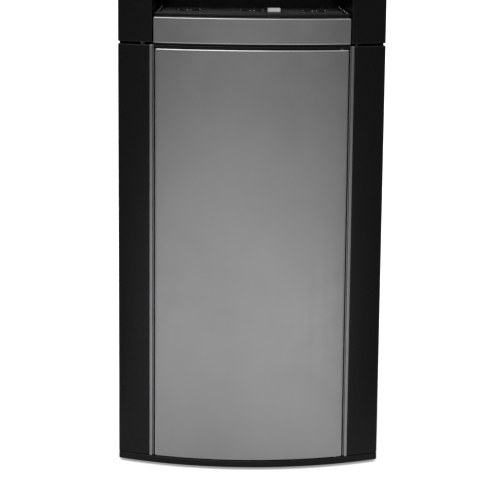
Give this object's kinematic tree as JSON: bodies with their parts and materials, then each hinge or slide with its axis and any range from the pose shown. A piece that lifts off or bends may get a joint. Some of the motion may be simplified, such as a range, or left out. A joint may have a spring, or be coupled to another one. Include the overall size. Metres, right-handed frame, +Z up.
{
  "type": "floor standing water dispenser",
  "caption": "Floor-standing water dispenser: bowed door over a storage cabinet, pull-out drip tray, dispensing recess with taps and buttons, bottle collar on top.",
  "frame": {"origin": "on the floor under the middle of the machine's bounding box", "axes": "front faces -Y, +X to the right seen from the front, +Z up"},
  "size_m": [0.312, 0.34, 0.97],
  "materials": {
    "satin_steel": "satin stainless sheet with a fine vertical grain",
    "trim_metal": "satin extruded strip",
    "black_plastic": "semi-gloss moulded, fine grain",
    "black_paint": "satin powder coat",
    "rubber": "matt",
    "light_plastic": "moulded, light grey",
    "white_plastic": "moulded, white",
    "dark_gloss_plastic": "gloss moulded",
    "stainless": "drawn stainless",
    "foam": "expanded foam shells",
    "copper": "drawn copper tube",
    "silicone": "translucent silicone hose",
    "board": "solder-masked circuit board",
    "lamp_lens": "clear light pipe",
    "magnet": "magnet in a moulded holder"
  },
  "bodies": {
    "cabinet": {"alcove_shell": "black_plastic", "back_panel": "black_paint", "base_tray": "black_plastic", "cabinet_liner": "light_plastic", "catch_magnet": "magnet", "cold_nozzle": "dark_gloss_plastic", "cold_outlet_tube": "silicone", "cold_tank": "stainless", "cold_tank_jacket": "foam", "cold_valve": "light_plastic", "compressor": "black_paint", "compressor_mounts": "rubber", "condenser_tube": "black_paint", "condenser_wires": "black_paint", "control_board": "board", "discharge_line": "copper", "drain_spout": "black_plastic", "evaporator_coil": "copper", "feed_probe": "light_plastic", "feet": "rubber", "head_deck": "black_plastic", "head_fascia": "satin_steel", "hinge_pins": "stainless", "hot_nozzle": "dark_gloss_plastic", "hot_outlet_tube": "silicone", "hot_tank": "stainless", "hot_tank_jacket": "foam", "hot_valve": "light_plastic", "indicator_lamps": "lamp_lens", "left_door_trim": "trim_metal", "left_side_panel": "black_paint", "lower_left_pillar": "black_plastic", "lower_right_pillar": "black_plastic", "mid_deck": "black_plastic", "power_inlet": "black_plastic", "right_door_trim": "trim_metal", "right_side_panel": "black_paint", "room_nozzle": "dark_gloss_plastic", "room_valve": "light_plastic", "switch_frame_plate": "black_plastic", "top_cover": "black_plastic", "upper_left_pillar": "black_plastic", "upper_right_pillar": "black_plastic", "wall_spacers": "black_plastic"},
    "door": {"door_skin": "satin_steel", "door_liner": "light_plastic", "door_seal": "rubber"},
    "tray": {"tray_pan": "black_plastic", "tray_strip": "satin_steel"},
    "grille": {"drip_grille": "black_plastic"},
    "float": {"tray_float": "white_plastic"},
    "hot_push": {"hot_button": "dark_gloss_plastic"},
    "room_push": {"room_button": "dark_gloss_plastic"},
    "cold_push": {"cold_button": "dark_gloss_plastic"},
    "lock": {"lock_slider": "black_plastic"},
    "heat_switch": {"heat_rocker": "black_plastic"},
    "cool_switch": {"cool_rocker": "black_plastic"},
    "knob": {"thermostat_knob": "black_plastic"},
    "cap": {"drain_cap": "black_plastic"},
    "collar": {"bottle_collar": "black_plastic"}
  },
  "joints": [
    {"name": "door_hinge", "type": "hinge", "parent": "cabinet", "child": "door", "pos_m": [0.104, -0.15, 0.25], "axis": [0, 0, 1], "range_deg": [0, 110]},
    {"name": "tray_slide", "type": "slide", "parent": "cabinet", "child": "tray", "axis": [0, -1, 0], "range_m": [0, 0.15]},
    {"name": "grille_lift", "type": "slide", "parent": "tray", "child": "grille", "axis": [0, 0, 1], "range_m": [0, 0.03]},
    {"name": "float_rise", "type": "slide", "parent": "tray", "child": "float", "axis": [0, 0, 1], "range_m": [0, 0.008]},
    {"name": "hot_press", "type": "slide", "parent": "cabinet", "child": "hot_push", "axis": [0, 1, 0], "range_m": [0, 0.004], "stiffness_N_per_m": 400},
    {"name": "room_press", "type": "slide", "parent": "cabinet", "child": "room_push", "axis": [0, 1, 0], "range_m": [0, 0.004], "stiffness_N_per_m": 400},
    {"name": "cold_press", "type": "slide", "parent": "cabinet", "child": "cold_push", "axis": [0, 1, 0], "range_m": [0, 0.004], "stiffness_N_per_m": 400},
    {"name": "lock_slide", "type": "slide", "parent": "cabinet", "child": "lock", "axis": [0, 0, -1], "range_m": [0, 0.0085]},
    {"name": "heat_rock", "type": "hinge", "parent": "cabinet", "child": "heat_switch", "pos_m": [-0.106, 0.1455, 0.259], "axis": [1, 0, 0], "range_deg": [0, 12]},
    {"name": "cool_rock", "type": "hinge", "parent": "cabinet", "child": "cool_switch", "pos_m": [-0.086, 0.1455, 0.259], "axis": [1, 0, 0], "range_deg": [0, 12]},
    {"name": "knob_turn", "type": "hinge", "parent": "cabinet", "child": "knob", "pos_m": [0.096, 0.155, 0.259], "axis": [0, 1, 0], "range_deg": [0, 270]},
    {"name": "cap_turn", "type": "hinge", "parent": "cabinet", "child": "cap", "pos_m": [0, 0.155, 0.259], "axis": [0, 1, 0], "range_deg": [0, 720]},
    {"name": "collar_lift", "type": "slide", "parent": "cabinet", "child": "collar", "axis": [0, 0, 1], "range_m": [0, 0.03]}
  ]
}
